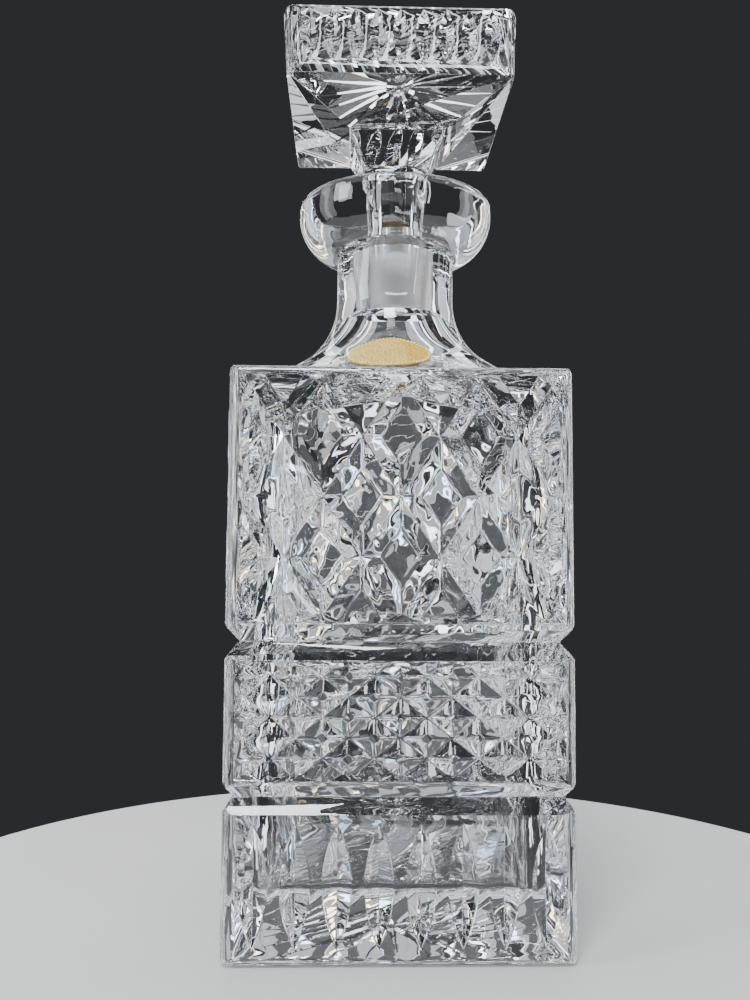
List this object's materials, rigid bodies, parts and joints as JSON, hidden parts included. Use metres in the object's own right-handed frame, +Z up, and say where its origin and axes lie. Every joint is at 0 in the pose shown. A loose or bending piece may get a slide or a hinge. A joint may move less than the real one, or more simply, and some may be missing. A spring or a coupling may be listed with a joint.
{
  "type": "cut crystal decanter",
  "caption": "Square crystal decanter with diamond-cut tiers, girdle grooves, flared lip, lift-out square stopper and a plain oval foil label.",
  "frame": {"origin": "centre of the base, on the surface that it stands on", "axes": "+Z up along the neck, -Y is the side with the label, +X to the right seen from that side"},
  "size_m": [0.09, 0.09, 0.2565],
  "materials": {
    "bottle_crystal": "polished, colourless cut crystal; satin ground bore where the plug seats",
    "stopper_crystal": "polished, colourless cut crystal; satin ground plug",
    "gold_foil": "embossed gold foil, plain, with a beaded border"
  },
  "bodies": {
    "bottle": {"bottle": "bottle_crystal", "shoulder_label": "gold_foil"},
    "stopper": {"stopper": "stopper_crystal"}
  },
  "joints": [
    {"name": "stopper_lift", "type": "slide", "parent": "bottle", "child": "stopper", "axis": [0, 0, 1], "range_m": [0, 0.06]}
  ]
}
